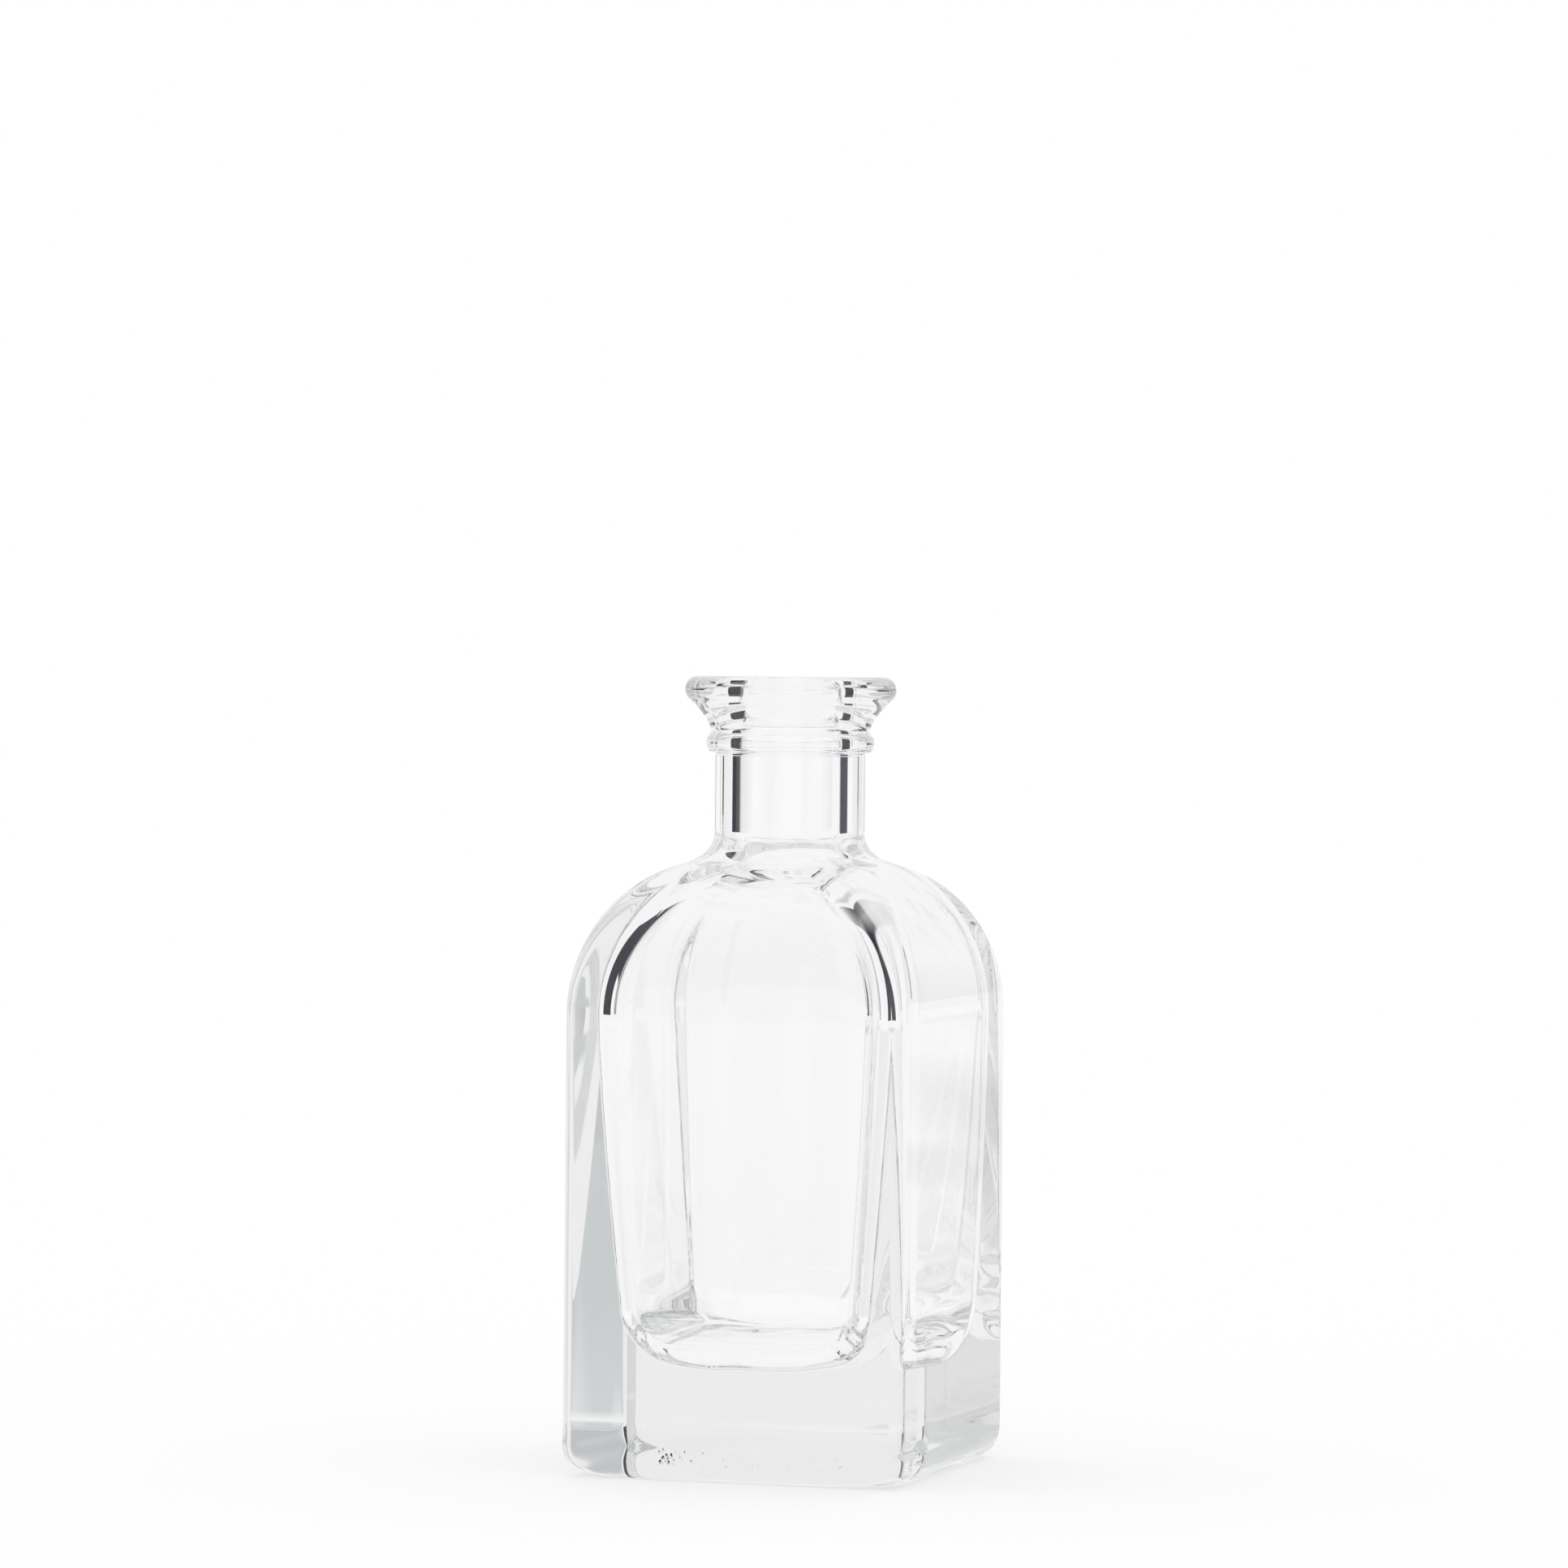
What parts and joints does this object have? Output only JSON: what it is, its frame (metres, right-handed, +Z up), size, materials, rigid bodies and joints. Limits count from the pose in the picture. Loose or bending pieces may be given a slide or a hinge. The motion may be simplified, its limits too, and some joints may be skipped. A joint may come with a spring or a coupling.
{
  "type": "square apothecary bottle",
  "caption": "Empty square glass bottle with rounded shoulders, a short round neck, a bead and a wide flared lip, for holding and pouring liquids.",
  "frame": {"origin": "centre of the base, on the plane the bottle stands on", "axes": "+Z up along the neck's axis, -Y out of the front panel, +X out of the right-hand panel"},
  "size_m": [0.05, 0.05, 0.1121],
  "materials": {
    "clear_glass": "polished, clear, with a faint green-grey tint in thick places"
  },
  "bodies": {
    "root": {"glass_bottle": "clear_glass"}
  },
  "joints": []
}
